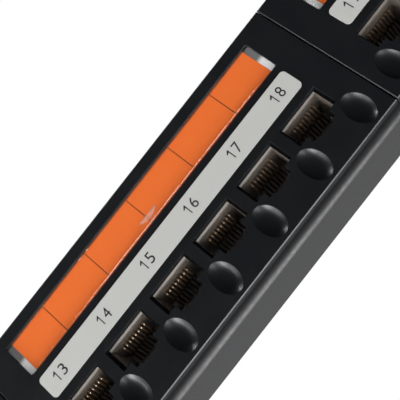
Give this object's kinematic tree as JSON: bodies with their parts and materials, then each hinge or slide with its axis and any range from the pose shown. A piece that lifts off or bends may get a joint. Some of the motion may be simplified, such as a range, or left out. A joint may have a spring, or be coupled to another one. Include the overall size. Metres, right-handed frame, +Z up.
{
  "type": "patch panel",
  "caption": "Rack-mounting patch panel: folded steel channel with slotted ears, and modules with eight-way sockets, clear-covered labels and punch-down blocks behind.",
  "frame": {"origin": "middle of the four rack slots, on the rear face of the ears where they meet the rails", "axes": "+X along the panel towards the higher port numbers, +Z up, front looks along -Y"},
  "size_m": [0.4826, 0.0314, 0.0436],
  "materials": {
    "panel_paint": "black powder coat, satin",
    "bezel_plastic": "fine moulded texture, black",
    "jack_plastic": "smooth black",
    "contact_metal": "thin gold plating over copper alloy",
    "cover_plastic": "clear, polished",
    "label_paper": "orange card, cut by thin dark lines",
    "number_film": "light grey printed film",
    "board_laminate": "green solder mask on glass laminate",
    "block_plastic": "moulded, black"
  },
  "bodies": {
    "root": {"chassis_panel": "panel_paint", "module_bezel_1": "bezel_plastic", "label_cover_1": "cover_plastic", "label_strip_1": "label_paper", "number_strip_1": "number_film", "circuit_board_1": "board_laminate", "punch_block_upper_1": "block_plastic", "punch_block_lower_1": "block_plastic", "jack_contacts_1": "contact_metal", "module_bezel_2": "bezel_plastic", "label_cover_2": "cover_plastic", "label_strip_2": "label_paper", "number_strip_2": "number_film", "circuit_board_2": "board_laminate", "punch_block_upper_2": "block_plastic", "punch_block_lower_2": "block_plastic", "jack_contacts_2": "contact_metal", "module_bezel_3": "bezel_plastic", "label_cover_3": "cover_plastic", "label_strip_3": "label_paper", "number_strip_3": "number_film", "circuit_board_3": "board_laminate", "punch_block_upper_3": "block_plastic", "punch_block_lower_3": "block_plastic", "jack_contacts_3": "contact_metal", "module_bezel_4": "bezel_plastic", "label_cover_4": "cover_plastic", "label_strip_4": "label_paper", "number_strip_4": "number_film", "circuit_board_4": "board_laminate", "punch_block_upper_4": "block_plastic", "punch_block_lower_4": "block_plastic", "jack_contacts_4": "contact_metal", "jack_housing_01": "jack_plastic", "jack_housing_02": "jack_plastic", "jack_housing_03": "jack_plastic", "jack_housing_04": "jack_plastic", "jack_housing_05": "jack_plastic", "jack_housing_06": "jack_plastic", "jack_housing_07": "jack_plastic", "jack_housing_08": "jack_plastic", "jack_housing_09": "jack_plastic", "jack_housing_10": "jack_plastic", "jack_housing_11": "jack_plastic", "jack_housing_12": "jack_plastic", "jack_housing_13": "jack_plastic", "jack_housing_14": "jack_plastic", "jack_housing_15": "jack_plastic", "jack_housing_16": "jack_plastic", "jack_housing_17": "jack_plastic", "jack_housing_18": "jack_plastic", "jack_housing_19": "jack_plastic", "jack_housing_20": "jack_plastic", "jack_housing_21": "jack_plastic", "jack_housing_22": "jack_plastic", "jack_housing_23": "jack_plastic", "jack_housing_24": "jack_plastic"}
  },
  "joints": []
}
